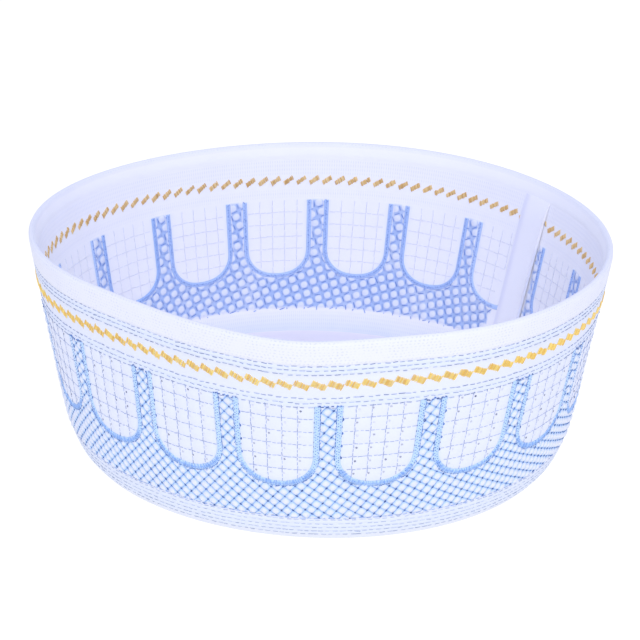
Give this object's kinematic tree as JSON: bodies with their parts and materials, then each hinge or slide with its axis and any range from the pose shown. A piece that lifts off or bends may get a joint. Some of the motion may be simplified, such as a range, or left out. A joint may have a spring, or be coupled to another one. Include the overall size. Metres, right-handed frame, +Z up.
{
  "type": "prayer cap",
  "caption": "Round brimless prayer cap of quilted white cotton with a tall embroidered band and a flat crown, lying on its crown with the open rim upward.",
  "frame": {"origin": "On the surface that the cap lies on, under the middle of its box in plan.", "axes": "+Z up out of the open rim, -Y towards the front with the soft crease in the rim, +X to the right seen from the front."},
  "size_m": [0.1857, 0.185, 0.0741],
  "materials": {
    "embroidered_cotton": "matte quilted white cotton with blue and gold embroidery",
    "hem_cotton": "matte white cotton with rows of pin stitches",
    "crown_cotton": "matte white cotton",
    "flap_cotton": "matte plain white cotton"
  },
  "bodies": {
    "root": {"band": "embroidered_cotton", "rim_hem": "hem_cotton", "crown": "crown_cotton", "seam_flap": "flap_cotton"}
  },
  "joints": []
}
